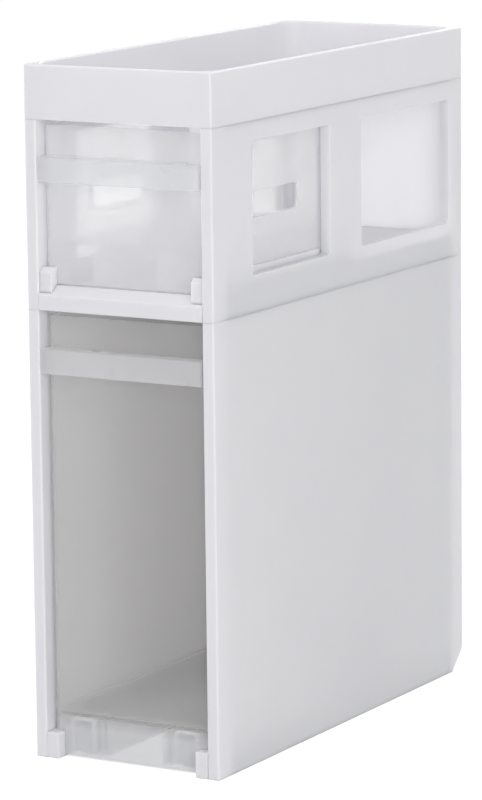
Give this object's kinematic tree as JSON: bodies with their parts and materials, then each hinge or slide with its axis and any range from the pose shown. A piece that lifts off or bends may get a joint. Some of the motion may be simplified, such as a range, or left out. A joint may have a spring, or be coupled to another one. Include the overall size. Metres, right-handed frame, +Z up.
{
  "type": "storage cabinet",
  "caption": "Slim white plastic storage cabinet with a deep clear drawer below, a windowed unit with a shallow milky drawer, and an open tray on top.",
  "frame": {"origin": "middle of the footprint on the floor", "axes": "+Z up, the front faces -Y, +X to the right seen from the front"},
  "size_m": [0.14, 0.35, 0.46],
  "materials": {
    "white_shell": "satin moulded",
    "milky_drawer": "frosted translucent",
    "clear_drawer": "clear with a faint haze",
    "roller": "satin moulded",
    "axle": "drawn wire"
  },
  "bodies": {
    "cabinet": {"lower_left_side": "white_shell", "lower_right_side": "white_shell", "lower_left_rail": "white_shell", "lower_right_rail": "white_shell", "lower_back_panel": "white_shell", "upper_left_side": "white_shell", "upper_right_side": "white_shell", "upper_back_panel": "white_shell", "shelf": "white_shell", "upper_left_runner": "white_shell", "upper_right_runner": "white_shell", "top_tray": "white_shell", "mid_stack_pins": "white_shell", "tray_stack_pins": "white_shell"},
    "upper_drawer": {"upper_drawer": "milky_drawer", "upper_handle": "milky_drawer"},
    "lower_drawer": {"lower_drawer": "clear_drawer", "lower_handle": "milky_drawer", "left_roller_bracket": "milky_drawer", "right_roller_bracket": "milky_drawer", "roller_axles": "axle"},
    "left_roller": {"left_roller": "roller"},
    "right_roller": {"right_roller": "roller"}
  },
  "joints": [
    {"name": "upper_drawer_slide", "type": "slide", "parent": "cabinet", "child": "upper_drawer", "axis": [0, -1, 0], "range_m": [0, 0.121]},
    {"name": "lower_drawer_slide", "type": "slide", "parent": "cabinet", "child": "lower_drawer", "axis": [0, -1, 0], "range_m": [0, 0.24]},
    {"name": "left_roller_spin", "type": "hinge", "parent": "lower_drawer", "child": "left_roller", "pos_m": [-0.0397, -0.1546, 0.0095], "axis": [1, 0, 0], "continuous": true},
    {"name": "right_roller_spin", "type": "hinge", "parent": "lower_drawer", "child": "right_roller", "pos_m": [0.0397, -0.1546, 0.0095], "axis": [1, 0, 0], "continuous": true}
  ]
}
